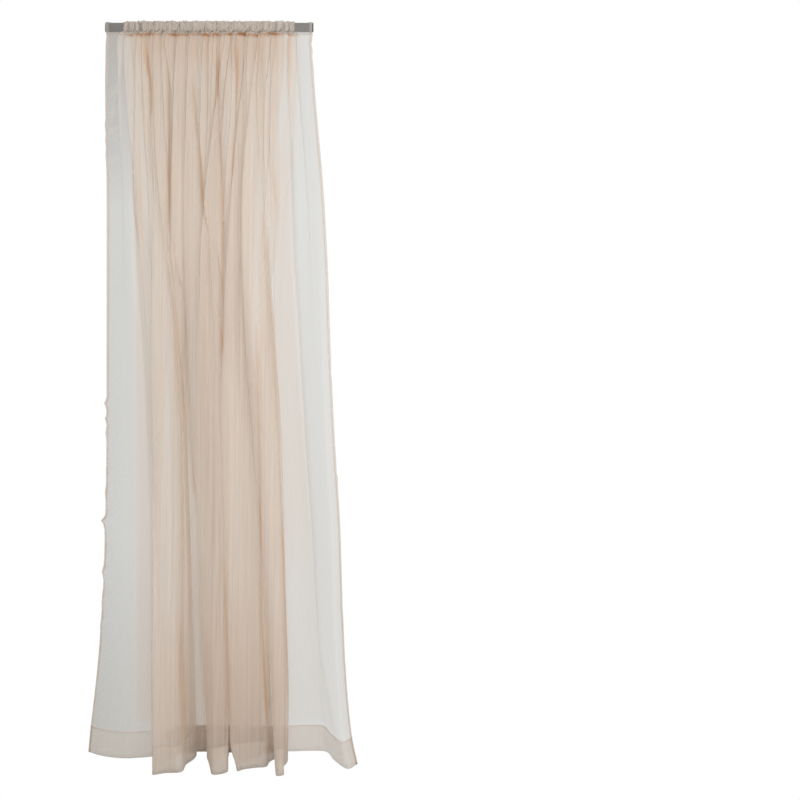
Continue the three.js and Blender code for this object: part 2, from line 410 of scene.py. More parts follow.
def smoothstep(value: np.ndarray, low: float, high: float) -> np.ndarray:
    """Rise smoothly from 0 at low to 1 at high.

    Args:
        value: Where to read the step.
        low: Value at which it starts to rise.
        high: Value at which it is full.

    Returns:
        The step, from 0 to 1.
    """
    share = np.clip((value - low) / (high - low), 0, 1)
    return share * share * (3 - 2 * share)


def bell(away: np.ndarray) -> np.ndarray:
    """Rise to 1 where away is 0, and fall off softly to both sides."""
    return np.exp(-(away**2))


def sum_waves(waves: tuple, at: np.ndarray) -> np.ndarray:
    """Add up waves at each place."""
    return sum(wave.size * np.sin(wave.turn * at + wave.start) for wave in waves)


def smooth_through(at: np.ndarray, knots: np.ndarray, values: np.ndarray) -> np.ndarray:
    """Follow a smooth line through a table's values.

    Args:
        at: Where to read the line.
        knots: Rising places of the table's rows.
        values: The value of each row, with any further axes last.

    Returns:
        The line's value at each place.
    """
    slopes = np.gradient(values, knots, axis=0)
    span = np.clip(np.searchsorted(knots, at, side="right") - 1, 0, len(knots) - 2)
    width = knots[span + 1] - knots[span]
    share = (at - knots[span]) / width
    spread = (slice(None),) + (None,) * (values.ndim - 1)
    width, share = width[spread], share[spread]
    start = (1 + 2 * share) * (1 - share) ** 2 * values[span]
    end = share**2 * (3 - 2 * share) * values[span + 1]
    leaving = share * (1 - share) ** 2 * width * slopes[span]
    arriving = share**2 * (share - 1) * width * slopes[span + 1]
    return start + end + leaving + arriving


@dataclass(frozen=True)
class Layout:
    """The line that a section's folds lie along, at each place of the cloth.

    base holds its x and y rows, and pleat the number of pleats counted from the body's left. inside is 1 in
    the folded body, and falls to 0 in the flat wings.
    """

    base: np.ndarray
    pleat: np.ndarray
    inside: np.ndarray


@dataclass
class Drape:
    """The hanging shape of the cloth, as a plan line for each height."""

    # The flat cloth, and its places along the rod.
    flat_width: float = 2997
    hem_drop: float = 2115.5
    seam_drop: float = 21
    pocket_width: float = 594
    flat_end: float = 48
    loose_end: float = 240
    flank_cloth: float = 300
    flank_x: float = 187
    edge_held: float = 90
    edge_free: float = 260

    # Gathers and pleats.
    gathers: float = 38
    pleats: int = 19
    end_pleat: float = 0.8
    longest_pleat: float = 300
    gather_lean: float = -1.8
    pleat_lean: float = -1.6
    lean_swing: float = 0.25
    lean_turn: float = 0.55
    fine_lean: float = 0.5
    swell_drift: float = 0.002

    # The deep folds of the hem.
    hem_rounding: float = 130
    rounding_steps: int = 15
    upper_end: float = 650
    lower_start: float = 1200
    back_soft: float = 56
    back_limit: float = 80
    direction_reach: float = 90
    least_across: float = 0.6

    # Creases, and the wrinkles and nicks of the edges.
    crease_slant: float = 0.2
    crease_fade: float = 60
    wrinkle_full: float = 0.55
    wrinkle_end: float = 1.3
    nick_reach: float = 30

    table_steps: int = 4000

    def __post_init__(self) -> None:
        """Work out the tables that the plan lines are read from."""
        self.shares = np.linspace(0, 1, self.table_steps)
        self._trace_hem()
        self._count_gathers()
        self._sections = np.array([list(vars(section).values()) for section in SECTIONS], float)

    def _trace_hem(self) -> None:
        """Trace the hem's path, and part it into its left wing, its body and its right wing."""
        points = np.array([[p.x, p.y] for p in LEFT_WING_PLAN + BODY_PLAN + RIGHT_WING_PLAN], float)
        steps = np.sqrt(np.linalg.norm(np.diff(points, axis=0), axis=1))
        knots = np.concatenate([[0], np.cumsum(steps)])
        body = len(LEFT_WING_PLAN)
        ends = knots[[0, body, body + len(BODY_PLAN), -1]]
        self.hem_parts = []
        self.hem_slack = []
        for start, end in zip(ends, ends[1:]):
            path = smooth_through(np.linspace(start, end, self.table_steps), knots, points)
            along = np.concatenate([[0], np.cumsum(np.linalg.norm(np.diff(path, axis=0), axis=1))])
            even = [np.interp(self.shares, along / along[-1], column) for column in path.T]
            self.hem_parts.append(np.stack(even))
            self.hem_slack.append(along[-1] / (path[-1, 0] - path[0, 0]) - 1)

    @staticmethod
    def _uneven(count: np.ndarray, waves: tuple) -> np.ndarray:
        """Number folds unevenly, with the same first and last number.

        Args:
            count: Even numbers of the folds.
            waves: The waves that make them uneven.

        Returns:
            The uneven numbers.
        """
        moved = count + sum_waves(waves, count)
        return count[-1] * (moved - moved[0]) / (moved[-1] - moved[0])

    def _count_gathers(self) -> None:
        """Number the cloth by its uneven gathers, and the body by its uneven pleats."""
        count = np.linspace(0, self.gathers, self.table_steps)
        share = self._uneven(count, GATHER_WAVES) / self.gathers
        self.gather_cloth = self.flat_end + (self.flat_width - 2 * self.flat_end) * share
        self.gather_count = count
        self.pleat_count = self._uneven(self.pleats * self.shares, PLEAT_WAVES)

    def section(self, drop: float) -> Section:
        """Read the table of sections at any height.

        Args:
            drop: Distance below the rod's middle.

        Returns:
            The section at that height.
        """
        at = np.array([np.clip(drop, SECTIONS[0].drop, SECTIONS[-1].drop)])
        values = smooth_through(at, self._sections[:, 0], self._sections[:, 1:])[0]
        return Section(drop, *np.clip(values[:5], 0, 1), *values[5:])

    def pocket_x(self, cloth: np.ndarray) -> np.ndarray:
        """Place the cloth along the rod, flat at both ends, loose beside them and close in between."""
        half = self.pocket_width / 2
        inward = np.array([0, self.flat_end, self.flank_cloth])
        places = np.array([half, half - self.flat_end, self.flank_x])
        knots = np.concatenate([inward, self.flat_width - inward[::-1]])
        return np.interp(cloth, knots, np.concatenate([-places, places[::-1]]))

    def from_edge(self, cloth: np.ndarray, start: float, full: float) -> np.ndarray:
        """Rise from 0 within start of either edge to 1 past full."""
        return smoothstep(np.minimum(cloth, self.flat_width - cloth), start, full)

    def gather_turn(self, cloth: np.ndarray) -> np.ndarray:
        """Number the gathers along the cloth."""
        return np.interp(cloth, self.gather_cloth, self.gather_count)

    def wing(self, part: int, share: np.ndarray, ends: tuple, deep: float) -> np.ndarray:
        """Lay one flat wing, which takes on the hem's bend further down.

        Args:
            part: Which part of the hem's path it follows.
            share: Places along the wing, from 0 to 1.
            ends: The x of its two ends.
            deep: How far it follows the hem's plan.

        Returns:
            The x and y of each place, as two rows.
        """
        x, y = (np.interp(share, self.shares, row) for row in self.hem_parts[part])
        first, last = self.hem_parts[part][0, [0, -1]]
        across = (1 - deep) * share + deep * (x - first) / (last - first)
        return np.stack([ends[0] + across * (ends[1] - ends[0]), deep * y])

    def body(self, share: np.ndarray, section: Section, ends: np.ndarray) -> np.ndarray:
        """Lay the body, which turns from even pleats into the hem's folds, rounder the further up it is.

        Args:
            share: Places along the body's cloth, from 0 to 1.
            section: The height to lay it at.
            ends: The x and y rows of its two ends.

        Returns:
            The x and y of each place, as two rows.
        """
        lowered = smoothstep(section.drop, self.upper_end, self.lower_start)
        dense = [(1 - lowered) * band.upper + lowered * band.lower for band in BODY_BANDS]
        widths = [band.width for band in BODY_BANDS]
        taken = np.cumsum([0, *np.multiply(dense, widths)])
        even = np.interp(self.shares * taken[-1], taken, np.cumsum([0, *widths]) / sum(widths))
        rounded = self._rounded(self.hem_rounding * (1 - section.hem) / self.flat_width)
        wide = ends[0, 1] - ends[0, 0]
        x = (1 - section.hem) * (ends[0, 0] + even * wide) + section.hem * rounded[0]
        y = section.deep * rounded[1]
        line = np.stack([x, y])
        to_start = ends[:, :1] - line[:, :1]
        to_end = ends[:, 1:] - line[:, -1:]
        line = line + (1 - self.shares) * to_start + self.shares * to_end
        return np.stack([np.interp(share, self.shares, row) for row in line])

    def _rounded(self, reach: float) -> list:
        """Round the hem's folds off.

        Args:
            reach: How far to each side a place is evened out, as a share of the cloth.

        Returns:
            The x and y rows of the rounded body.
        """
        rows = []
        for row in self.hem_parts[1]:
            offsets = np.linspace(-reach, reach, self.rounding_steps)
            moved = [np.interp(self.shares + offset, self.shares, row) for offset in offsets]
            rows.append(sum(moved) / len(moved))
        return rows

    def layout(self, cloth: np.ndarray, section: Section) -> Layout:
        """Lay the cloth out at one height, with both edges in their places.

        Args:
            cloth: Places along the flat width, from edge to edge.
            section: The height to lay it out at.

        Returns:
            The line that the folds lie along.
        """
        bend = section.deep**2
        left_cloth = (section.body_left - section.left) * (1 + self.hem_slack[0] * bend)
        right_cloth = (section.right - section.body_right) * (1 + self.hem_slack[2] * bend)
        right_start = self.flat_width - right_cloth
        left_share = np.clip(cloth / left_cloth, 0, 1)
        left = self.wing(0, left_share, (section.left, section.body_left), section.deep)
        right_share = np.clip((cloth - right_start) / right_cloth, 0, 1)
        right = self.wing(2, right_share, (section.body_right, section.right), section.deep)
        ends = np.stack([left[:, -1], right[:, 0]], axis=1)
        share = np.clip((cloth - left_cloth) / (right_start - left_cloth), 0, 1)
        hanging = self.body(share, section, ends)
        hanging = np.where(cloth < left_cloth, left, np.where(cloth > right_start, right, hanging))
        x = (1 - section.spread) * self.pocket_x(cloth) + section.spread * hanging[0]
        near_left = 1 - smoothstep(cloth, self.edge_held, self.edge_free)
        near_right = 1 - smoothstep(self.flat_width - cloth, self.edge_held, self.edge_free)
        x = x + near_left * (section.left - x[0]) + near_right * (section.right - x[-1])
        pleat = np.interp(share, self.shares, self.pleat_count)
        inside = smoothstep(np.minimum(pleat, self.pleats - pleat), 0, self.end_pleat)
        return Layout(np.stack([x, section.spread * hanging[1]]), pleat, inside)

    def fold_depth(self, cloth: np.ndarray, layout: Layout, section: Section) -> tuple:
        """Work out how far the main folds stand out to the front.

        Args:
            cloth: Places along the flat width.
            layout: How the cloth is laid out.
            section: The height to work at.

        Returns:
            The depth of the folds, and their sideways lean for each step forward.
        """
        drawn_to = np.hypot(*np.gradient(layout.base, cloth, axis=1))
        spare = np.sqrt(np.maximum(0, 1 - drawn_to**2)) / 4
        gather_at = self.gather_turn(cloth)
        gather_length = np.gradient(self.gather_cloth, self.gather_count)
        gather_length = np.interp(cloth, self.gather_cloth, gather_length)
        pleat_length = 1 / np.maximum(np.gradient(layout.pleat, cloth), 1 / self.longest_pleat)
        gather = spare * gather_length * np.sin(2 * np.pi * gather_at)
        folds = spare * layout.inside * pleat_length * np.sin(2 * np.pi * layout.pleat)
        turn = section.pleat * np.pi / 2
        swing = 1 + self.lean_swing * np.sin(self.lean_turn * gather_at)
        lean = swing * ((1 - section.pleat) * self.gather_lean + section.pleat * self.pleat_lean)
        depth = section.depth * (np.cos(turn) * gather + np.sin(turn) * folds)
        return depth / np.hypot(1, lean), lean

    def direction(self, cloth: np.ndarray, base: np.ndarray) -> np.ndarray:
        """Find the way in which the cloth runs on the whole, past its single folds.

        Args:
            cloth: Places along the flat width.
            base: The line that the folds lie along.

        Returns:
            A unit step along the cloth, as x and y rows.
        """
        ahead = np.stack([np.interp(cloth + self.direction_reach, cloth, row) for row in base])
        behind = np.stack([np.interp(cloth - self.direction_reach, cloth, row) for row in base])
        step = ahead - behind
        step[0] = np.maximum(step[0], self.least_across * np.abs(step[1]))
        return step / np.maximum(np.hypot(*step), TINY)

    def ripple_depth(self, cloth: np.ndarray, section: Section) -> np.ndarray:
        """Add up the fine folds between the main ones.

        Args:
            cloth: Places along the flat width.
            section: The height to work at.

        Returns:
            How far they stand out to the front.
        """
        share = cloth / self.flat_width
        inside = self.from_edge(cloth, self.flat_end, self.loose_end)
        total = np.zeros(len(cloth))
        for number, ripple in enumerate(RIPPLES):
            grown = smoothstep(section.drop, ripple.rise, ripple.full)
            left = 1 - smoothstep(section.drop, ripple.fade, ripple.end)
            uneven = sum(wave.size * np.sin(wave.turn * share + wave.start * number) for wave in RIPPLE_WAVES)
            drifted = SWELL_WAVE.start * number + self.swell_drift * section.drop
            swell = 1 - SWELL_WAVE.size + SWELL_WAVE.size * np.sin(SWELL_WAVE.turn * share + drifted)
            turns = ripple.count * share + ripple.wander * uneven / 2 + ripple.drift * section.drop * MM
            total += ripple.size * grown * left * swell * np.sin(2 * np.pi * turns)
        return inside * total

    def crease_bells(self, seen_x: np.ndarray, drop: float) -> list:
        """Find how near the creases each place lies.

        Args:
            seen_x: Where the cloth lies across the curtain, as seen past the plies in front of it.
            drop: Distance below the rod's middle.

        Returns:
            Each crease that reaches this height, with the distance to it in widths and its strength there.
        """
        near = []
        for crease in CREASES:
            line, drops = np.transpose(crease.places)
            strength = smoothstep(drop, drops[0] - self.crease_fade, drops[0] + self.crease_fade)
            strength *= 1 - smoothstep(drop, drops[-1] - self.crease_fade, drops[-1] + self.crease_fade)
            if strength > 0:
                away = (seen_x - np.interp(drop, drops, line)) / crease.width
                near.append((crease, away, strength * bell(away)))
        return near

    def crease_shift(self, x: np.ndarray, y: np.ndarray, drop: float) -> np.ndarray:
        """Press the creases into every ply.

        Args:
            x: Where the cloth lies across the curtain.
            y: Where it lies from front to back.
            drop: Distance below the rod's middle.

        Returns:
            The x and y steps of each place, as two rows.
        """
        shift = np.zeros((2, len(x)))
        for crease, away, near in self.crease_bells(x + self.crease_slant * y, drop):
            shift[0] -= crease.pinch * crease.width * away * near
            shift[1] += crease.depth * near
        return shift

    def edge_depth(self, cloth: np.ndarray, drop: float) -> np.ndarray:
        """Add up the soft wrinkles beside the two edges.

        Args:
            cloth: Places along the flat width.
            drop: Distance below the rod's middle.

        Returns:
            How far they stand out to the front.
        """
        total = np.zeros(len(cloth))
        for wrinkle in EDGE_WRINKLES:
            inward = cloth if wrinkle.edge is Edge.LEFT else self.flat_width - cloth
            along = inward / wrinkle.run
            away = (drop - wrinkle.drop - along * wrinkle.fall) / wrinkle.width
            left = 1 - smoothstep(along, self.wrinkle_full, self.wrinkle_end)
            total += wrinkle.depth * left * bell(away)
        return total

    def edge_shift(self, cloth: np.ndarray, drop: float) -> np.ndarray:
        """Add up the small places where the two edges stand out.

        Args:
            cloth: Places along the flat width.
            drop: Distance below the rod's middle.

        Returns:
            How far the cloth moves along X.
        """
        total = np.zeros(len(cloth))
        for nick in EDGE_NICKS:
            left = nick.edge is Edge.LEFT
            inward = cloth if left else self.flat_width - cloth
            size = nick.size * bell((drop - nick.drop) / nick.height)
            total += (-size if left else size) * (1 - smoothstep(inward, 0, self.nick_reach))
        return total

    def hem_shift(self, cloth: np.ndarray, drop: float) -> np.ndarray:
        """Slant the corners of the hem's front folds.

        Args:
            cloth: Places along the flat width.
            drop: Distance below the rod's middle.

        Returns:
            How far the cloth moves along X.
        """
        total = np.zeros(len(cloth))
        for tuck in HEM_TUCKS:
            grown = smoothstep(drop, tuck.start, self.hem_drop)
            total += grown * tuck.shift * bell((cloth - tuck.cloth) / tuck.reach)
        return total

    def gathered(self, cloth: np.ndarray, drop: float) -> np.ndarray:
        """Tell how far the cloth is gathered at one height, from 0 where it hangs flat to 1."""
        section = self.section(drop)
        held = self.from_edge(cloth, self.flat_end, self.loose_end)
        return held * (1 - section.spread * (1 - self.layout(cloth, section).inside))

    def line(self, cloth: np.ndarray, drop: float) -> np.ndarray:
        """Draw the cloth at one height.

        Args:
            cloth: Places along the flat width, from edge to edge.
            drop: Distance below the rod's middle.

        Returns:
            The x, y and z of each place, as three columns.
        """
        section = self.section(drop)
        layout = self.layout(cloth, section)
        base = layout.base
        depth, lean = self.fold_depth(cloth, layout, section)
        folded = 1 - section.spread * (1 - layout.inside)
        fine = folded * self.ripple_depth(cloth, section) + self.edge_depth(cloth, drop)
        along = self.direction(cloth, base)
        out = depth + fine
        aside = lean * (depth + self.fine_lean * fine)
        x = base[0] + aside * along[0] + out * along[1]
        y = base[1] + aside * along[1] - out * along[0]
        room = self.back_limit - self.back_soft
        y = np.where(y > self.back_soft, self.back_soft + room * np.tanh((y - self.back_soft) / room), y)
        x = x + self.edge_shift(cloth, drop) + self.hem_shift(cloth, drop)
        pressed = self.crease_shift(x, y, drop)
        return np.stack([x + pressed[0], y + pressed[1], np.full(len(cloth), -drop)], axis=1)


@dataclass
class PlyCount:
    """How many plies each place of the cloth stands for, with the folds that are too small to model."""

    drape: Drape

    # Small folds that lie hidden behind the cloth.
    folded_plies: float = 0.55
    hidden_plies: float = 0.65
    hidden_start: float = 1250
    hidden_full: float = 1950
    valley_thin: float = 0.6
    hem_thin: float = 0.7
    ahead_full: float = -40
    ahead_end: float = 20

    # The loose ply behind the wings.
    veil_plies: float = 1.2
    veil_left: float = -222
    veil_soft: float = 15
    veil_thin: float = 0.5
    veil_end: float = 2010

    # Lines along the creases, and the walls of the folds: both deepen the colour with painted shade, and the
    # walls are also thinner.
    fold_line: float = 3.2
    line_plies: float = 0.75
    wall_thin: float = 0.55
    wall_fade: float = 0.9
    # Painted shade: how far the walls deepen the colour, in plies.
    wall_shade_tone: float = 1.8
    wall_start: float = 0.75

    # The pocket's seam, whose crushed patches are denser and darkened with painted shade, and the shade below
    # it.
    pucker_plies: float = 4.3
    pucker_end: float = 96
    patch_low: float = -1.0
    patch_full: float = 1.9
    seam_sway: float = 2.5
    seam_height: float = 3.1
    shade_tone: float = 0.6
    shade_end: float = 260

    def count(self, cloth: np.ndarray, drop: float, row: np.ndarray) -> np.ndarray:
        """Count the plies that each place stands for, with the small folds that lie hidden behind it.

        Args:
            cloth: Places along the flat width, from edge to edge.
            drop: Distance below the rod's middle.
            row: The points of the cloth at that height.

        Returns:
            The count at each place, from 1.
        """
        layout = self.drape.layout(cloth, self.drape.section(drop))
        seen_x = row[:, 0] + self.drape.crease_slant * row[:, 1]
        ahead = 1 - self.valley_thin * smoothstep(row[:, 1], self.ahead_full, self.ahead_end)
        lowered = smoothstep(drop, self.hidden_start, self.hidden_full)
        above_hem = 1 - smoothstep(drop, self.veil_end, self.veil_end + 2 * self.veil_soft)
        hidden = self.hidden_plies * lowered * layout.inside * ahead * (1 - self.hem_thin * (1 - above_hem))
        hidden += self.folded_plies * self.drape.gathered(cloth, drop)
        beside = above_hem * (1 - layout.inside) * self.veil(cloth, seen_x, drop)
        thinner = 1 - self.wall_thin * self.steep(cloth, drop, row)
        return thinner * (1 + hidden + beside) + self.fold_lines(seen_x, drop) + self.pucker(cloth, drop)

    def steep(self, cloth: np.ndarray, drop: float, row: np.ndarray) -> np.ndarray:
        """Tell where the folds run from front to back.

        Args:
            cloth: Places along the flat width, from edge to edge.
            drop: Distance below the rod's middle.
            row: The points of the cloth at that height.

        Returns:
            A share from 0 to 1 at each place.
        """
        across, inward = np.gradient(row[:, :2], axis=0).T
        slope = np.abs(inward) / np.maximum(np.hypot(across, inward), TINY)
        raised = 1 - self.wall_fade * smoothstep(drop, self.hidden_start, self.hidden_full)
        return raised * self.drape.gathered(cloth, drop) * smoothstep(slope, self.wall_start, 1)

    def fold_lines(self, seen_x: np.ndarray, drop: float) -> np.ndarray:
        """Add up the thin dense lines along the creases, whose deeper colour is partly painted shade in the
        crease.

        Args:
            seen_x: Where the cloth lies across the curtain, as seen past the plies in front of it.
            drop: Distance below the rod's middle.

        Returns:
            How many more plies each place stands for.
        """
        total = np.zeros(len(seen_x))
        for crease, away, near in self.drape.crease_bells(seen_x, drop):
            narrower = (crease.width / self.fold_line) ** 2 - 1
            total += crease.dense * near * np.exp(-narrower * away**2)
        return self.line_plies * total

    def veil(self, cloth: np.ndarray, seen_x: np.ndarray, drop: float) -> np.ndarray:
        """Count the loose ply behind the wings, beside the body.

        Args:
            cloth: Places along the flat width, from edge to edge.
            seen_x: Where they lie across the curtain, as seen past the plies in front.
            drop: Distance below the rod's middle.

        Returns:
            The count at each place, from 0.
        """
        fold, drops = np.transpose(RIGHT_FOLD)
        right_end = np.interp(drop, drops, fold)
        left = smoothstep(seen_x, self.veil_left - self.veil_soft, self.veil_left + self.veil_soft)
        right = 1 - smoothstep(seen_x, right_end - self.veil_soft, right_end + self.veil_soft)
        thinner = 1 - self.veil_thin * smoothstep(drop, self.hidden_start, self.veil_end)
        return self.veil_plies * np.where(cloth < self.drape.flat_width / 2, left, thinner * right)

    def pucker(self, cloth: np.ndarray, drop: np.ndarray) -> np.ndarray:
        """Crush the cloth in uneven patches along the pocket's seam, denser and darkened with painted shade.

        Args:
            cloth: Places along the flat width.
            drop: Distance below the rod's middle, at each place.

        Returns:
            How many more plies each place stands for.
        """
        turn = 2 * np.pi * self.drape.gather_turn(cloth)
        patch = smoothstep(sum_waves(PUCKER_WAVES, turn), self.patch_low, self.patch_full)
        held = self.drape.from_edge(cloth, self.drape.flat_end, self.pucker_end)
        sway = self.seam_sway * sum_waves(SEAM_WAVES, turn)
        away = (drop - self.drape.seam_drop - sway) / self.seam_height
        return self.pucker_plies * held * patch * bell(away)

    def shade(self, drops: np.ndarray) -> np.ndarray:
        """Deepen the tone in the shade of the pocket, in plies for each row."""
        return self.shade_tone * (1 - smoothstep(drops, self.drape.seam_drop, self.shade_end))


Tree = bpy.types.NodeTree
Socket = bpy.types.NodeSocket


def add_node(tree: Tree, kind: str, inputs: dict | None = None, **settings: object) -> bpy.types.Node:
    """Add a node to a tree.

    Args:
        tree: The node tree.
        kind: The node's type.
        inputs: A socket to link or a plain value to set, for inputs by name or number.
        settings: The node's own settings.

    Returns:
        The node.
    """
    node = tree.nodes.new(kind)
    for name, value in settings.items():
        setattr(node, name, value)
    for name, value in (inputs or {}).items():
        if isinstance(value, bpy.types.NodeSocket):
            tree.links.new(value, node.inputs[name])
        else:
            node.inputs[name].default_value = value
    return node


def join(tree: Tree, operation: str, first: object, second: object) -> Socket:
    """Join two sockets or numbers with a sum of some kind."""
    return add_node(tree, "ShaderNodeMath", {0: first, 1: second}, operation=operation).outputs[0]


def mixed_colour(tree: Tree, share: Socket, first: object, second: object) -> Socket:
    """Mix two colours or their sockets, by the share of the second one."""
    inputs = {"Factor": share, 6: first, 7: second}
    return add_node(tree, "ShaderNodeMix", inputs, data_type="RGBA").outputs[2]


def mixed_shader(tree: Tree, share: object, first: bpy.types.Node, second: bpy.types.Node) -> bpy.types.Node:
    """Mix the shaders of two nodes, by the share of the second one."""
    inputs = {0: share, 1: first.outputs[0], 2: second.outputs[0]}
    return add_node(tree, "ShaderNodeMixShader", inputs)


def ranged(tree: Tree, value: Socket, source: tuple, target: tuple = (0, 1)) -> Socket:
    """Carry a value over from one range to another."""
    inputs = dict(zip(("Value", "From Min", "From Max", "To Min", "To Max"), (value, *source, *target)))
    return add_node(tree, "ShaderNodeMapRange", inputs).outputs["Result"]


def colour_ramp(tree: Tree, share: Socket, stops: list) -> Socket:
    """Read a colour off a ramp.

    Args:
        tree: The node tree.
        share: The socket of the place on the ramp.
        stops: The place and the colour of each stop, from first to last.

    Returns:
        The socket of the colour.
    """
    ramp = add_node(tree, "ShaderNodeValToRGB", {"Fac": share})
    elements = ramp.color_ramp.elements
    for element, (place, colour) in zip(elements, (stops[0], stops[-1])):
        element.position = place
        element.color = colour
    for place, colour in stops[1:-1]:
        elements.new(place).color = colour
    return ramp.outputs["Color"]


def stretched(tree: Tree, place: Socket, scale: tuple) -> Socket:
    """Stretch a map along its axes."""
    return add_node(tree, "ShaderNodeMapping", {"Vector": place, "Scale": scale}).outputs["Vector"]


def noise(tree: Tree, place: Socket, detail: float, roughness: float = 0.5) -> Socket:
    """Draw a noise over a map that is stretched to the noise's size."""
    inputs = {"Vector": place, "Scale": 1.0, "Detail": detail, "Roughness": roughness}
    return add_node(tree, "ShaderNodeTexNoise", inputs).outputs["Fac"]


def cloth_value(tree: Tree, name: str) -> Socket:
    """Read one of the values that the cloth's points carry."""
    return add_node(tree, "ShaderNodeAttribute", attribute_name=name).outputs["Fac"]


def cloth_map(tree: Tree) -> Socket:
    """Read the cloth's own map."""
    return add_node(tree, "ShaderNodeUVMap", uv_map=CLOTH_MAP).outputs["UV"]


def object_place(tree: Tree) -> Socket:
    """Read the piece's Object coordinates."""
    return add_node(tree, "ShaderNodeTexCoord").outputs["Object"]


def empty_material(name: str) -> bpy.types.Material:
    """Make a material that has no nodes yet.

    Args:
        name: What to call it.

    Returns:
        The material.
    """
    material = bpy.data.materials.new(name)
    material.use_nodes = True
    material.node_tree.nodes.clear()
    return material


@dataclass(frozen=True)
class SheerFinish:
    """Peach voile: clear between its threads, and denser the more plies lie together."""

    name: str = "peach_voile"
    colour: tuple = (0.85, 0.785, 0.72, 1.0)
    # The fold colour is partly painted shade, for the creases, the fold walls and the shade below the pocket.
    fold_and_shade_colour: tuple = (0.76, 0.52, 0.33, 1.0)
    # Partly painted shade: the dark colour of the seam's crushed puckers.
    seam_pucker_and_shade_colour: tuple = (0.5, 0.24, 0.12, 1.0)
    fold_from: float = 1.9
    fold_full: float = 3.4
    seam_plies: float = 5
    thread_pitch: float = 0.9 * MM
    thread_wobble: float = 0.6
    weave_strength: float = 0.1
    clear: float = 0.64
    roughness: float = 0.48
    sheen: float = 0.6
    sheen_roughness: float = 0.45
    translucency: float = 0.63
    flat_reach: float = 3050 * MM
    streak_size: tuple = (4 * MM, 150 * MM)
    streak_range: tuple = (0.9, 1.1)
    streak_detail: float = 2.0
    pucker_slant: float = -0.7
    pucker_size: tuple = (95 * MM, 27 * MM, 1.0)
    pucker_span: tuple = (0.35, 0.7)
    pucker_depth: float = 0.75
    pucker_detail: float = 2.0
    press_width: float = 11 * MM
    press_slant: float = 0.2
    press_length: float = 1.1
    press_span: tuple = (0.3, 0.7)
    press_depth: float = 0.3
    press_detail: float = 3.0
    press_roughness: float = 0.65

    def material(self) -> bpy.types.Material:
        """Make the cloth's material.

        Returns:
            The material, which reads the cloth's own map and values.
        """
        material = empty_material(self.name)
        tree = material.node_tree
        tone = self._tone_and_shade(tree)
        thread = add_node(tree, "ShaderNodeBsdfPrincipled", {
            "Base Color": tone,
            "Normal": self._weave(tree),
            "Roughness": self.roughness,
            "Sheen Weight": self.sheen,
            "Sheen Roughness": self.sheen_roughness,
            "Sheen Tint": self.colour,
        })
        glow = add_node(tree, "ShaderNodeBsdfTranslucent", {"Color": tone})
        cloth = mixed_shader(tree, self.translucency, thread, glow)
        gaps = add_node(tree, "ShaderNodeBsdfTransparent")
        surface = mixed_shader(tree, join(tree, "POWER", self.clear, self._density(tree)), cloth, gaps)
        add_node(tree, "ShaderNodeOutputMaterial", {"Surface": surface.outputs[0]})
        return material

    def _tone_and_shade(self, tree: Tree) -> Socket:
        """Deepen the colour where plies stack up: partly the deeper colour of the stacked cloth, and partly
        painted shade in the creases, on the fold walls, in the seam's puckers and below the pocket.

        Args:
            tree: The material's node tree.

        Returns:
            The socket of the colour.
        """
        stops = [
            (self.fold_from / self.seam_plies, self.colour),
            (self.fold_full / self.seam_plies, self.fold_and_shade_colour),
            (1, self.seam_pucker_and_shade_colour),
        ]
        return colour_ramp(tree, ranged(tree, cloth_value(tree, TONE_AND_SHADE), (0, self.seam_plies)), stops)

    def _weave(self, tree: Tree) -> Socket:
        """Raise the plain weave's warp and weft.

        Args:
            tree: The material's node tree.

        Returns:
            The socket of the bumped normal.
        """
        scale = 2 * math.pi * self.flat_reach / (WAVE_TURN * self.thread_pitch)
        inputs = {"Vector": cloth_map(tree), "Scale": scale, "Distortion": self.thread_wobble}
        warp, weft = (add_node(tree, "ShaderNodeTexWave", inputs, bands_direction=way) for way in "XY")
        bump = add_node(tree, "ShaderNodeBump", {
            "Strength": self.weave_strength,
            "Distance": self.thread_pitch / 4,
            "Height": join(tree, "MAXIMUM", warp.outputs["Fac"], weft.outputs["Fac"]),
        })
        return bump.outputs["Normal"]

    def _density(self, tree: Tree) -> Socket:
        """Vary the plies' density in faint streaks along the warp, in puckers and in pressed folds.

        Args:
            tree: The material's node tree.

        Returns:
            The socket of the density, in plies.
        """
        place = cloth_map(tree)
        scale = (*(self.flat_reach / size for size in self.streak_size), 1)
        streaks = noise(tree, stretched(tree, place, scale), self.streak_detail)
        streaks = ranged(tree, streaks, (0, 1), self.streak_range)
        dense = join(tree, "MULTIPLY", streaks, cloth_value(tree, PLIES))
        dense = join(tree, "MULTIPLY", dense, self._edge_puckers(tree, place))
        return join(tree, "MULTIPLY", dense, self._pressed(tree))

    def _edge_puckers(self, tree: Tree, place: Socket) -> Socket:
        """Draw soft slanting puckers beside the left side hem, which lie denser than the flat cloth.

        Args:
            tree: The material's node tree.
            place: The socket of the cloth's own map.

        Returns:
            A socket that lies round 1.
        """
        scale = [size / self.flat_reach for size in self.pucker_size]
        inputs = {"Vector": place, "Rotation": (0, 0, self.pucker_slant), "Scale": scale}
        stretch = add_node(tree, "ShaderNodeMapping", inputs, vector_type="TEXTURE")
        drawn = noise(tree, stretch.outputs["Vector"], self.pucker_detail)
        return self._swing(tree, drawn, self.pucker_span, self.pucker_depth, BESIDE_HEM)

    def _pressed(self, tree: Tree) -> Socket:
        """Press fine upright folds through all the plies, too narrow to model.

        Args:
            tree: The material's node tree.

        Returns:
            A socket that lies round 1.
        """
        scale = (1 / self.press_width, self.press_slant / self.press_width, 1 / self.press_length)
        place = stretched(tree, object_place(tree), scale)
        drawn = noise(tree, place, self.press_detail, self.press_roughness)
        return self._swing(tree, drawn, self.press_span, self.press_depth, GATHERED)

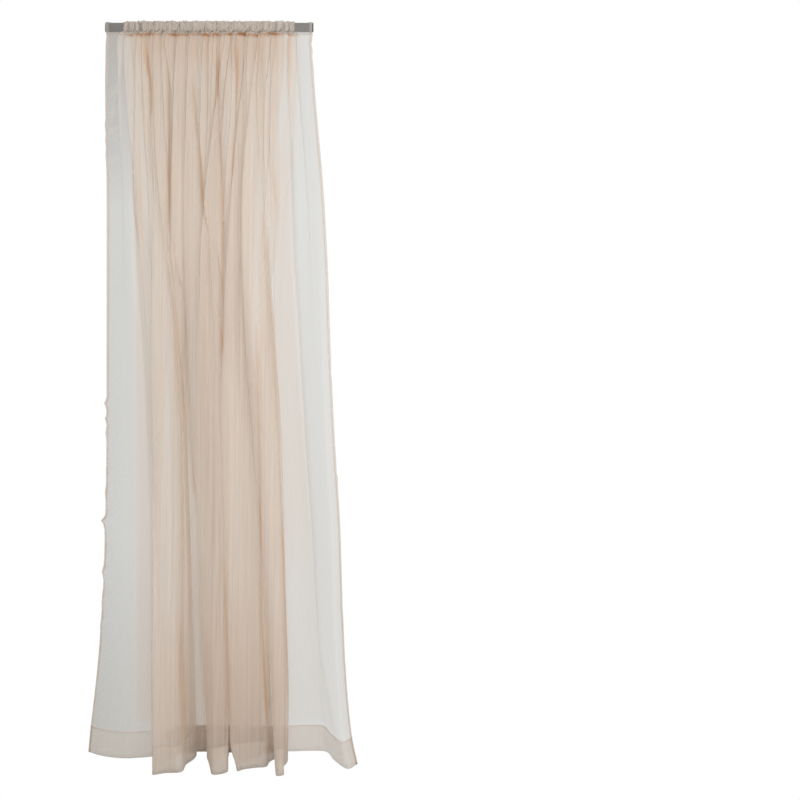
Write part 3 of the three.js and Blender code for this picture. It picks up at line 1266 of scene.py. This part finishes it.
    @staticmethod
    def _swing(tree: Tree, drawn: Socket, span: tuple, depth: float, where: str) -> Socket:
        """Swing a noise round 1.

        Args:
            tree: The material's node tree.
            drawn: The socket of the noise.
            span: The part of the noise's range that shows.
            depth: How far it swings to each side.
            where: The cloth's value that scales it.

        Returns:
            A socket that lies round 1.
        """
        swung = ranged(tree, drawn, span, (-depth, depth))
        return join(tree, "ADD", 1.0, join(tree, "MULTIPLY", swung, cloth_value(tree, where)))


@dataclass(frozen=True)
class GrainFinish:
    """A plain colour with a fine grain in its tone and its gloss."""

    name: str
    colour: tuple
    worn_colour: tuple
    roughness: tuple
    grain: tuple
    bump: float
    detail: float = 3.0

    def material(self) -> bpy.types.Material:
        """Make the material.

        Returns:
            The material, which reads Object coordinates.
        """
        material = empty_material(self.name)
        tree = material.node_tree
        place = stretched(tree, object_place(tree), [1 / size for size in self.grain])
        grain = noise(tree, place, self.detail)
        raised = {"Strength": self.bump, "Distance": min(self.grain), "Height": grain}
        shader = add_node(tree, "ShaderNodeBsdfPrincipled", {
            "Base Color": mixed_colour(tree, grain, self.colour, self.worn_colour),
            "Roughness": ranged(tree, grain, (0, 1), self.roughness),
            "Normal": add_node(tree, "ShaderNodeBump", raised).outputs["Normal"],
        })
        add_node(tree, "ShaderNodeOutputMaterial", {"Surface": shader.outputs[0]})
        return material


TWISTED_THREAD = GrainFinish(
    name="tan_thread",
    colour=(0.46, 0.26, 0.15, 1.0),
    worn_colour=(0.6, 0.38, 0.24, 1.0),
    roughness=(0.45, 0.7),
    grain=(0.5 * MM, 0.5 * MM, 0.5 * MM),
    bump=0.4,
)

SATIN_GREY_PAINT = GrainFinish(
    name="satin_grey_paint",
    colour=(0.062, 0.062, 0.067, 1.0),
    worn_colour=(0.08, 0.08, 0.086, 1.0),
    roughness=(0.38, 0.55),
    grain=(40 * MM, 1.5 * MM, 1.5 * MM),
    bump=0.05,
)


@dataclass
class CurtainCloth:
    """The panel: one cut length with its rod pocket, side hems and bottom hem."""

    drape: Drape
    plies: PlyCount
    finish: SheerFinish

    # Rows and columns of the mesh.
    columns: int = 470
    wing_cloth: float = 210
    wing_step: float = 3
    rows: int = 92
    seam_band: float = 45
    seam_rows: int = 11
    hem_rows: int = 6
    side_hem_steps: int = 4
    pocket_steps: int = 22
    flat_reach: float = 3050

    # The hems.
    side_hem: float = 8
    hem_height: float = 76
    ply_gap: float = 0.8
    hem_puckers: float = 75
    edge_slack: tuple = (
        (0, 0.2),
        (200, 0.3),
        (340, 0.9),
        (520, 0.1),
        (980, 0.2),
        (1200, 1),
        (1750, 1),
        (2116, 0.3),
    )

    # The pocket's path round the rod.
    rod_height: float = 26
    rod_thickness: float = 8
    seat_gap: float = 0.9
    hem_room: float = 2.1
    edge_gap: float = 2.6
    pocket_low: float = 11
    pocket_cloth: float = 90
    pocket_path: tuple = (0, 12, 34, 42, 50, 72, 84)
    crown_drop: float = 3
    seam_reach: float = 14

    # The pocket's gathers.
    pocket_plies: float = 3.2
    ruche: float = 5
    ruche_end: float = 76.8
    puff: float = 4.5
    back_shift: float = 2.2
    crown_shift: float = 1.1
    swell_middle: float = 0.5
    swell_size: float = 0.32
    swell_crinkle: float = 0.6
    swell_limits: tuple = (-0.1, 1.2)
    pocket_lap: float = 8
    fine_lap: float = 3.2
    fine_turn: float = 2.7
    fine_wobble: float = 3
    wobble_size: float = 0.5
    wobble_length: float = 9
    wobble_turn: float = 0.9

    def _cloth_places(self) -> np.ndarray:
        """Set out the columns of the cloth, closer together in the side hems and beside the fold lines."""
        hem = np.linspace(0, self.side_hem, self.side_hem_steps + 1)
        wing = np.arange(self.side_hem + self.wing_step, self.wing_cloth, self.wing_step)
        width = self.drape.flat_width
        middle = np.linspace(self.wing_cloth, width - self.wing_cloth, self.columns)
        edge = np.concatenate([hem, wing])
        return np.concatenate([edge, middle, width - edge[::-1]])

    def _drops(self) -> np.ndarray:
        """Set out the rows from the bottom up, closer together at the edges' nicks and below the pocket."""
        seam, bottom = self.drape.seam_drop, self.drape.hem_drop
        hem_top = bottom - self.hem_height
        hem = np.linspace(bottom, hem_top, self.hem_rows)
        even = np.linspace(hem_top, seam + self.seam_band, self.rows)
        close = np.linspace(seam + self.seam_band, seam, self.seam_rows)
        nicks = [nick.drop + step * nick.height for nick in EDGE_NICKS for step in (-1, 0, 1)]
        sheet = np.sort(np.concatenate([even[1:], close[1:], nicks]))
        return np.concatenate([hem, sheet[::-1]])

    def build(self) -> bpy.types.Object:
        """Make the cloth's mesh and dress it.

        Returns:
            The piece, in place.
        """
        cloth = self._cloth_places()
        drops = self._drops()
        self.sheet = np.stack([self.drape.line(cloth, drop) for drop in drops])
        self.normals = self._normals(self.sheet)
        pocket = self._pocket(cloth, self.sheet[-1])
        hem = self.sheet[: self.hem_rows]
        behind = -self.ply_gap * self.normals[: self.hem_rows]
        turned = [hem + behind, (hem + 2 * behind)[::-1]]
        grid, places = self._turn_sides(cloth, np.concatenate([*turned, self.sheet, pocket]))
        lengths = self._lengths(drops, len(pocket))
        panel = self._mesh_object(grid * MM, places, lengths)
        sides = 2 * (self.side_hem_steps + 1)
        for name, values in self._values(cloth, drops, pocket, lengths).items():
            layer = panel.data.attributes.new(name, "FLOAT", "POINT")
            padded = np.pad(values, ((0, 0), (sides, sides)), mode="edge")
            layer.data.foreach_set("value", padded.ravel().astype(np.float32))
        return panel

    def _lengths(self, drops: np.ndarray, pocket_rows: int) -> np.ndarray:
        """Place each row along the cut length.

        Args:
            drops: The drops of the sheet's rows.
            pocket_rows: How many rows the pocket has.

        Returns:
            The places of the turned hem's rows, the sheet's and the pocket's.
        """
        hem = drops[: self.hem_rows]
        inner = hem + 2 * self.hem_height
        back = 2 * self.drape.hem_drop - hem[::-1]
        pocket = self.drape.seam_drop - np.linspace(0, self.pocket_cloth, pocket_rows + 1)[1:]
        return np.concatenate([inner, back, drops, pocket])

    def _values(self, cloth: np.ndarray, drops: np.ndarray, pocket: np.ndarray, lengths: np.ndarray) -> dict:
        """Work out the values that the finish reads.

        Args:
            cloth: Places along the flat width.
            drops: The drops of the sheet's rows.
            pocket: The points of the pocket.
            lengths: Each row's place along the cut length.

        Returns:
            The values of each row and column, by name.
        """
        plies = np.stack([self.plies.count(cloth, drop, row) for drop, row in zip(drops, self.sheet)])
        walls = np.stack([self.plies.steep(cloth, drop, row) for drop, row in zip(drops, self.sheet)])
        gathered = np.stack([self.drape.gathered(cloth, drop) for drop in drops])
        # Painted shade: the fold walls and the pocket's shade deepen the colour on top of the plies.
        tones_and_shade = plies + self.plies.wall_shade_tone * walls + self.plies.shade(drops)[:, None]
        crushed = (pocket[:, :, 1] < 0) * self.plies.pucker(cloth, -pocket[:, :, 2])
        ruched = (self.pocket_plies - 1) * self._ruched(cloth)
        slack = smooth_through(np.clip(lengths, 0, self.drape.hem_drop), *np.transpose(self.edge_slack))
        near = 1 - smoothstep(cloth, 0, self.hem_puckers)
        return {
            PLIES: self._all_rows(plies, 1 + ruched + crushed),
            TONE_AND_SHADE: self._all_rows(tones_and_shade, 1 + crushed),
            GATHERED: self._all_rows(gathered, np.zeros(crushed.shape)),
            BESIDE_HEM: slack[:, None] * near,
        }

    def _all_rows(self, sheet: np.ndarray, pocket: np.ndarray) -> np.ndarray:
        """Set the turned hem's rows before the sheet's, and the pocket's after them."""
        return np.concatenate([sheet[: self.hem_rows], sheet[: self.hem_rows][::-1], sheet, pocket])

    @staticmethod
    def _normals(sheet: np.ndarray) -> np.ndarray:
        """Work out the direction in which the cloth's front faces, at every point."""
        across = np.gradient(sheet, axis=1)
        upward = np.gradient(sheet, axis=0)
        normals = np.cross(across, upward)
        return normals / np.linalg.norm(normals, axis=2, keepdims=True)

    def _ruched(self, cloth: np.ndarray) -> np.ndarray:
        """Tell how far the pocket is gathered, from 0 at its flat ends to 1."""
        return self.drape.from_edge(cloth, self.drape.flat_end, self.ruche_end)

    def _swell(self, cloth: np.ndarray, turn: np.ndarray, shift: float) -> np.ndarray:
        """Swell with each gather, from about 0 to 1.

        Args:
            cloth: Places along the flat width.
            turn: The gathers' turn at each place.
            shift: How far the swell is moved along, as a turn.

        Returns:
            The swell at each place.
        """
        crinkle = self.swell_crinkle * sum_waves(CRINKLE_WAVES, turn)
        swell = self.swell_middle + self.swell_size * np.sin(turn + shift) + crinkle
        return self._ruched(cloth) * np.clip(swell, *self.swell_limits)

    def _pocket(self, cloth: np.ndarray, seam: np.ndarray) -> np.ndarray:
        """Carry the cloth from its seam up the front of the rod, over it and down its back.

        Args:
            cloth: Places along the flat width.
            seam: The cloth's points along the seam.

        Returns:
            The rows of the pocket.
        """
        turn = 2 * np.pi * self.drape.gather_turn(cloth)
        side = self.rod_thickness / 2 + self.edge_gap
        front = side + self.ruche * self._swell(cloth, turn, 0)
        back = side + self.ruche * self._swell(cloth, turn, self.back_shift)
        room = self.hem_room * (1 - self.drape.from_edge(cloth, self.side_hem, 2 * self.side_hem))
        top = self.rod_height / 2 + self.puff * self._swell(cloth, turn, self.crown_shift) + room
        shoulder = top - self.crown_drop
        low = np.full(len(cloth), -self.pocket_low)
        seam_x, seam_y, seam_z = seam.T
        y = np.stack([seam_y, -front, -front, np.zeros(len(cloth)), back, back, seam_y + self.ply_gap])
        z = np.stack([seam_z, low, shoulder, top + self.seat_gap, shoulder, low, seam_z])
        knots = np.array(self.pocket_path, float)
        at = np.linspace(0, knots[-1], self.pocket_steps + 1)[1:]
        rows_x = self._pocket_x(cloth, turn, seam_x, at)
        return np.stack([rows_x, smooth_through(at, knots, y), smooth_through(at, knots, z)], axis=2)

    def _pocket_x(
        self, cloth: np.ndarray, turn: np.ndarray, seam_x: np.ndarray, at: np.ndarray
    ) -> np.ndarray:
        """Crush the pocket's gathers together along the rod.

        Args:
            cloth: Places along the flat width.
            turn: The gathers' turn at each place.
            seam_x: Where the seam lies along the rod.
            at: The rows' places along the pocket's path.

        Returns:
            The x of each row and column.
        """
        away = smoothstep(np.minimum(at, at[-1] - at), 0, self.seam_reach)[:, None]
        wobble = self.wobble_size * np.sin(at[:, None] / self.wobble_length + self.wobble_turn * turn / np.pi)
        fine = self.fine_lap * np.sin(self.fine_turn * turn + self.fine_wobble * wobble)
        crushed = self._ruched(cloth) * (self.pocket_lap * np.sin(turn + wobble) + fine)
        base_x = self.drape.pocket_x(cloth)
        return base_x + away * crushed + (1 - away) * (seam_x - base_x)

    def _turn_sides(self, cloth: np.ndarray, grid: np.ndarray) -> tuple:
        """Turn both side hems to the back.

        Args:
            cloth: Places along the flat width.
            grid: Every row of the cloth from edge to edge.

        Returns:
            The grid with its side hems, and each column's place along the cut width.
        """
        last = self.side_hem_steps + 1
        behind = self._normals(grid) * -self.ply_gap
        inner, back = grid + behind, grid + 2 * behind
        width, hem = self.drape.flat_width, self.side_hem
        left = [inner[:, :last], back[:, :last][:, ::-1]]
        right = [back[:, -last:][:, ::-1], inner[:, -last:]]
        places = np.concatenate([
            cloth[:last] - 2 * hem,
            -cloth[:last][::-1],
            cloth,
            2 * width - cloth[-last:][::-1],
            cloth[-last:] + 2 * hem,
        ])
        return np.concatenate([*left, grid, *right], axis=1), places

    def _mesh_object(self, grid: np.ndarray, places: np.ndarray, lengths: np.ndarray) -> bpy.types.Object:
        """Make a smooth mesh of a grid of points.

        Args:
            grid: The points, row by row, in metres.
            places: Each column's place along the cut width.
            lengths: Each row's place along the cut length.

        Returns:
            The object, dressed in the cloth's finish.
        """
        rows, columns = grid.shape[:2]
        corner = np.arange(rows * columns).reshape(rows, columns)
        faces = np.stack([corner[:-1, :-1], corner[:-1, 1:], corner[1:, 1:], corner[1:, :-1]], axis=2)
        mesh = bpy.data.meshes.new("curtain_panel")
        mesh.from_pydata(grid.reshape(-1, 3).tolist(), [], faces.reshape(-1, 4).tolist())
        mesh.polygons.foreach_set("use_smooth", np.ones(len(mesh.polygons), bool))
        layer = mesh.uv_layers.new(name=CLOTH_MAP)
        across, along = np.meshgrid(places - places[0], lengths - lengths.min())
        corners = np.zeros(len(mesh.loops), np.int32)
        mesh.loops.foreach_get("vertex_index", corners)
        flat = np.stack([across.ravel()[corners], along.ravel()[corners]], axis=1) / self.flat_reach
        layer.data.foreach_set("uv", flat.ravel().astype(np.float32))
        mesh.materials.append(self.finish.material())
        panel = bpy.data.objects.new("curtain_panel", mesh)
        bpy.context.scene.collection.objects.link(panel)
        return panel


@dataclass
class Stitching:
    """The machine stitches of the pocket's seam, the bottom hem and both side hems, in millimetres."""

    cloth: CurtainCloth
    finish: GrainFinish
    pitch: float = 6.0
    length: float = 4.2
    thickness: float = 1.7
    lift: float = 0.5

    def _seams(self) -> list:
        """Follow each seam along the front of the cloth."""
        raised = self.cloth.sheet + self.lift * self.cloth.normals
        beside = self.cloth.side_hem_steps - 1
        return [raised[-1], raised[self.cloth.hem_rows - 1], raised[:, beside], raised[:, -beside - 1]]

    def _paths(self) -> bpy.types.Object:
        """Draw the seams as lines.

        Returns:
            An object whose mesh is the lines alone.
        """
        points = []
        steps = []
        for seam in self._seams():
            first = len(points)
            points.extend((seam * MM).tolist())
            steps.extend((number, number + 1) for number in range(first, len(points) - 1))
        mesh = bpy.data.meshes.new("stitching")
        mesh.from_pydata(points, steps, [])
        holder = bpy.data.objects.new("stitching", mesh)
        bpy.context.scene.collection.objects.link(holder)
        return holder

    @staticmethod
    def _tree() -> bpy.types.NodeTree:
        """Set a stitch at every pitch along the lines.

        Returns:
            The node tree, with its sizes as named inputs.
        """
        tree = bpy.data.node_groups.new("stitches", "GeometryNodeTree")
        tree.interface.new_socket("Lines", in_out="INPUT", socket_type="NodeSocketGeometry")
        for name in ("Pitch", "Length", "Thickness"):
            tree.interface.new_socket(name, in_out="INPUT", socket_type="NodeSocketFloat")
        tree.interface.new_socket("Thread", in_out="INPUT", socket_type="NodeSocketMaterial")
        tree.interface.new_socket("Stitches", in_out="OUTPUT", socket_type="NodeSocketGeometry")
        given = tree.nodes.new("NodeGroupInput").outputs
        curve = add_node(tree, "GeometryNodeMeshToCurve", {"Mesh": given["Lines"]})
        along = {"Curve": curve.outputs["Curve"], "Length": given["Pitch"]}
        points = add_node(tree, "GeometryNodeCurveToPoints", along, mode="LENGTH").outputs
        turn = add_node(tree, "FunctionNodeAlignRotationToVector", {"Vector": points["Tangent"]}, axis="X")
        thick = given["Thickness"]
        size = add_node(tree, "ShaderNodeCombineXYZ", {"X": given["Length"], "Y": thick, "Z": thick})
        stitch = add_node(tree, "GeometryNodeMeshIcoSphere", {"Radius": UNIT_RADIUS})
        place = add_node(tree, "GeometryNodeInstanceOnPoints", {
            "Points": points["Points"],
            "Instance": stitch.outputs["Mesh"],
            "Rotation": turn.outputs["Rotation"],
            "Scale": size.outputs["Vector"],
        })
        whole = add_node(tree, "GeometryNodeRealizeInstances", {"Geometry": place.outputs["Instances"]})
        sewn = {"Geometry": whole.outputs["Geometry"], "Material": given["Thread"]}
        dress = add_node(tree, "GeometryNodeSetMaterial", sewn)
        add_node(tree, "NodeGroupOutput", {"Stitches": dress.outputs["Geometry"]})
        return tree

    def build(self) -> bpy.types.Object:
        """Sew the seams.

        Returns:
            The piece, in place, as one plain mesh.
        """
        piece = self._paths()
        tree = self._tree()
        sewing = piece.modifiers.new("sewing", "NODES")
        sewing.node_group = tree
        given = {
            "Pitch": self.pitch * MM,
            "Length": self.length * MM,
            "Thickness": self.thickness * MM,
            "Thread": self.finish.material(),
        }
        for socket in tree.interface.items_tree:
            if socket.name in given:
                sewing[socket.identifier] = given[socket.name]
        seen = piece.evaluated_get(bpy.context.evaluated_depsgraph_get())
        mesh = bpy.data.meshes.new_from_object(seen)
        piece.modifiers.clear()
        piece.data = mesh
        return piece


@dataclass(frozen=True)
class SoftBox:
    """A square soft box: its place, target and length of side in metres, and its power in watts."""

    name: str
    place: tuple
    target: tuple
    size: float
    watts: float

    def hang(self) -> None:
        """Hang the soft box."""
        light = bpy.data.lights.new(self.name, "AREA")
        light.size = self.size
        light.energy = self.watts
        lamp = bpy.data.objects.new(self.name, light)
        lamp.location = self.place
        way = Vector(self.target) - Vector(self.place)
        lamp.rotation_euler = way.to_track_quat("-Z", "Y").to_euler()
        bpy.context.scene.collection.objects.link(lamp)


SOFT_BOXES = (
    SoftBox("key", (1.25, -1.75, -0.6), (0, 0, -0.7), 1.6, 27),
    SoftBox("fill", (0.55, -2.5, -0.65), (0, 0, -0.75), 0.5, 17),
)


@dataclass
class Studio:
    """The photographer's place: a pale floor, a burnt-out backdrop with painted light and shade where it is
    seen through the cloth, soft lights and the camera.
    """

    camera_place: tuple = (0.55, -2.6, -1.075)
    lens: float = 40.54
    sensor: float = 36.0
    floor_drop: float = 2.15
    floor_size: float = 30.0
    floor_colour: tuple = (0.45, 0.45, 0.44, 1.0)
    # The grey seen through the cloth: painted shade at its left, top and bottom, and painted light at its
    # right.
    shaded_left: tuple = (0.615, 0.64, 0.64, 1.0)
    lit_right: tuple = (0.74, 0.765, 0.77, 1.0)
    shaded_top: tuple = (0.3, 0.3, 0.29, 1.0)
    shaded_low: tuple = (0.45, 0.46, 0.44, 1.0)
    way_reach: float = 0.37
    way_even: tuple = (-0.15, 0.2)
    left_way: float = -0.31
    right_way: float = -0.08
    ambient: float = 0.8
    sheer_bounces: int = 48

    def build(self) -> None:
        """Set up the stage."""
        scene = bpy.context.scene
        scene.view_settings.view_transform = "Standard"
        scene.cycles.transparent_max_bounces = self.sheer_bounces
        self._backdrop()
        self._floor()
        for box in SOFT_BOXES:
            box.hang()
        self._camera()

    @staticmethod
    def _looked_through(tree: Tree) -> tuple:
        """Tell how the backdrop is looked at.

        Args:
            tree: The node tree of the backdrop or the floor.

        Returns:
            A socket that is 1 where cloth is looked through, and one that is 1 where the camera looks.
        """
        path = add_node(tree, "ShaderNodeLightPath").outputs
        through = add_node(tree, "ShaderNodeClamp", {"Value": path["Transparent Depth"]})
        return through.outputs["Result"], path["Is Camera Ray"]

    def _backdrop(self) -> None:
        """Light the scene evenly, with a backdrop that is white round the cloth and grey through it, with
        painted light and shade in the grey.
        """
        world = bpy.data.worlds.new("soft_studio")
        bpy.context.scene.world = world
        world.use_nodes = True
        tree = world.node_tree
        tree.nodes.clear()
        through, looking = self._looked_through(tree)
        colour = mixed_colour(tree, through, WHITE, self._shaded_grey_backdrop(tree))
        seen = add_node(tree, "ShaderNodeBackground", {"Color": colour})
        light = add_node(tree, "ShaderNodeBackground", {"Color": WHITE, "Strength": self.ambient})
        mix = mixed_shader(tree, looking, light, seen)
        add_node(tree, "ShaderNodeOutputWorld", {"Surface": mix.outputs[0]})

    def _shaded_grey_backdrop(self, tree: Tree) -> Socket:
        """Paint light and shade into the grey backdrop: pale with painted light at its right, and darker with
        painted shade at its left, most of all at the top and bottom.

        Args:
            tree: The world's node tree.

        Returns:
            The socket of its colour.
        """
        way = add_node(tree, "ShaderNodeTexCoord").outputs["Generated"]
        parts = add_node(tree, "ShaderNodeSeparateXYZ", {"Vector": way}).outputs
        share = ranged(tree, parts["X"], (self.left_way, self.right_way))
        raised = ranged(tree, parts["Z"], (-self.way_reach, self.way_reach))
        even = [(0.5 + height / (2 * self.way_reach), self.shaded_left) for height in self.way_even]
        left = colour_ramp(tree, raised, [(0, self.shaded_low), *even, (1, self.shaded_top)])
        return mixed_colour(tree, share, left, self.lit_right)

    def _floor(self) -> None:
        """Lay a pale floor under the curtain, burnt out like the backdrop."""
        half = self.floor_size / 2
        corners = [(-half, -half), (half, -half), (half, half), (-half, half)]
        mesh = bpy.data.meshes.new("studio_floor")
        mesh.from_pydata([(x, y, -self.floor_drop) for x, y in corners], [], [(0, 1, 2, 3)])
        material = empty_material("pale_floor")
        tree = material.node_tree
        through, looking = self._looked_through(tree)
        white = add_node(tree, "ShaderNodeEmission")
        clear = add_node(tree, "ShaderNodeBsdfTransparent")
        paint = add_node(tree, "ShaderNodeBsdfDiffuse", {"Color": self.floor_colour})
        mix = mixed_shader(tree, looking, paint, mixed_shader(tree, through, white, clear))
        add_node(tree, "ShaderNodeOutputMaterial", {"Surface": mix.outputs[0]})
        mesh.materials.append(material)
        floor = bpy.data.objects.new("studio_floor", mesh)
        bpy.context.scene.collection.objects.link(floor)

    def _camera(self) -> None:
        """Stand the camera level in front of the curtain, a little to its right."""
        data = bpy.data.cameras.new("camera")
        data.lens = self.lens
        data.sensor_width = self.sensor
        camera = bpy.data.objects.new("camera", data)
        camera.location = self.camera_place
        camera.rotation_euler = (math.pi / 2, 0, 0)
        bpy.context.scene.collection.objects.link(camera)
        bpy.context.scene.camera = camera


def main() -> None:
    """Build and dress the curtain, piece by piece."""
    logging.basicConfig(level=logging.INFO, format="%(name)s: %(message)s")
    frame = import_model()
    Studio().build()
    drape = Drape()
    cloth = CurtainCloth(drape, PlyCount(drape), SheerFinish())
    panel = cloth.build()
    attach(panel, BODY)
    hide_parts(PANEL_NODE)
    LOG.info("curtain panel: %d faces", len(panel.data.polygons))
    stitching = Stitching(cloth, TWISTED_THREAD).build()
    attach(stitching, BODY)
    LOG.info("stitching: %d faces", len(stitching.data.polygons))
    rod = frame["nodes"][ROD_NODE]
    rod.data.materials.clear()
    rod.data.materials.append(SATIN_GREY_PAINT.material())
    LOG.info("rod: dressed")


if __name__ == "__main__":
    main()
